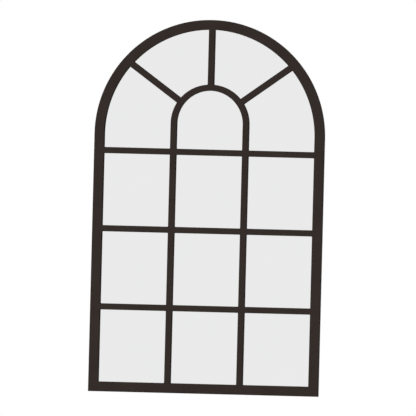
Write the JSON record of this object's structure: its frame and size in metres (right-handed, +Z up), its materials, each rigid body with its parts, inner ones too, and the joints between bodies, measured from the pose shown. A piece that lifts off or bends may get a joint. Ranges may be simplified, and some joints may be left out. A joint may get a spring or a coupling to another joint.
{
  "type": "arched window mirror",
  "caption": "Tall mirror in a dark steel frame with a round arched head and glazing bars like a window's, with hanging rings on its back.",
  "frame": {"origin": "middle of the bottom rail's underside, halfway through the frame tube's 30 mm depth", "axes": "+X across the mirror to the viewer's right, +Y from the reflecting side towards the wall, +Z up towards the arched head"},
  "size_m": [0.93, 0.038, 1.4999],
  "materials": {
    "powder_coat": "matt dark bronze-brown powder coat",
    "mirror_glass": "silvered 4 mm float glass with ground edges",
    "fibreboard": "plain brown fibreboard",
    "zinc_steel": "bright zinc plate",
    "rubber": "matt black moulded rubber"
  },
  "bodies": {
    "mirror": {"left_stile": "powder_coat", "right_stile": "powder_coat", "arch_head": "powder_coat", "bottom_rail": "powder_coat", "left_mullion": "powder_coat", "right_mullion": "powder_coat", "hoop_bar": "powder_coat", "lower_left_transom": "powder_coat", "lower_centre_transom": "powder_coat", "lower_right_transom": "powder_coat", "middle_left_transom": "powder_coat", "middle_centre_transom": "powder_coat", "middle_right_transom": "powder_coat", "upper_left_transom": "powder_coat", "upper_centre_transom": "powder_coat", "upper_right_transom": "powder_coat", "left_spoke": "powder_coat", "top_spoke": "powder_coat", "right_spoke": "powder_coat", "mirror_glass": "mirror_glass", "backing_board": "fibreboard", "glazing_clips": "zinc_steel", "clip_screws": "zinc_steel", "hanger_screws": "zinc_steel", "wall_pads": "rubber", "left_hanger_strap": "zinc_steel", "right_hanger_strap": "zinc_steel"},
    "left_ring": {"left_hanger_ring": "zinc_steel"},
    "right_ring": {"right_hanger_ring": "zinc_steel"}
  },
  "joints": [
    {"name": "left_ring_swing", "type": "hinge", "parent": "mirror", "child": "left_ring", "pos_m": [-0.445, 0.01858, 0.985], "axis": [1, 0, 0], "range_deg": [0, 180]},
    {"name": "right_ring_swing", "type": "hinge", "parent": "mirror", "child": "right_ring", "pos_m": [0.445, 0.01858, 0.985], "axis": [1, 0, 0], "range_deg": [0, 180]}
  ]
}
